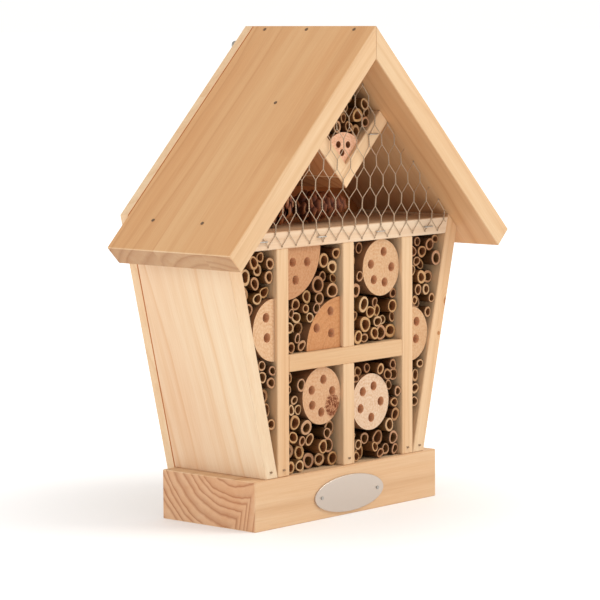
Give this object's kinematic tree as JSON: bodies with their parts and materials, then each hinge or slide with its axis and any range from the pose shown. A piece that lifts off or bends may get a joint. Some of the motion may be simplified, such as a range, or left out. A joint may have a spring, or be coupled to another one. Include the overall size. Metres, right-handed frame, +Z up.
{
  "type": "insect hotel",
  "caption": "House-shaped pine insect hotel with leaning walls, drilled logs, hollow canes, a netted attic with pine cones, and a folding hanging ring.",
  "frame": {"origin": "centre of the base block's underside", "axes": "+Z up, +Y to the rear so the open front faces -Y, +X to the right seen from the front"},
  "size_m": [0.275, 0.1199, 0.3162],
  "materials": {
    "board_pine": "planed pine, unfinished",
    "roof_pine": "planed pine, unfinished",
    "log_wood": "sawn end grain",
    "cane": "dry cane with sawn ends",
    "cone": "dry pine cone",
    "netting_wire": "galvanised wire",
    "fixings": "bright steel wire and zinc-plated heads",
    "plate_metal": "satin",
    "hanger_steel": "zinc plated"
  },
  "bodies": {
    "house": {"attic_floor": "board_pine", "back_panel": "board_pine", "back_screws": "fixings", "base_block": "board_pine", "canes_gable": "cane", "canes_left_side": "cane", "canes_lower_left": "cane", "canes_lower_right": "cane", "canes_right_side": "cane", "canes_upper_left": "cane", "canes_upper_right": "cane", "cradle_board_left": "board_pine", "cradle_board_right": "board_pine", "cross_rail": "board_pine", "divider_centre_lower": "board_pine", "divider_centre_upper": "board_pine", "divider_left": "board_pine", "divider_right": "board_pine", "front_netting": "netting_wire", "hanger_screws": "hanger_steel", "hanger_strap": "hanger_steel", "log_half_left": "log_wood", "log_half_right": "log_wood", "log_lower_left": "log_wood", "log_lower_right": "log_wood", "log_quarter_foot": "log_wood", "log_quarter_top": "log_wood", "log_upper_right": "log_wood", "log_wedge_gable": "log_wood", "nameplate": "plate_metal", "nameplate_pins": "fixings", "netting_staples": "fixings", "pine_cone_large": "cone", "pine_cone_small": "cone", "ridge_nails": "fixings", "roof_nails": "fixings", "roof_panel_left": "roof_pine", "roof_panel_right": "roof_pine", "side_wall_left": "board_pine", "side_wall_right": "board_pine", "toe_nails": "fixings"},
    "ring": {"hanger_ring": "hanger_steel"}
  },
  "joints": [
    {"name": "ring_hinge", "type": "hinge", "parent": "house", "child": "ring", "pos_m": [0, 0.05018, 0.29201], "axis": [-1, 0, 0], "range_deg": [-12, 155]}
  ]
}
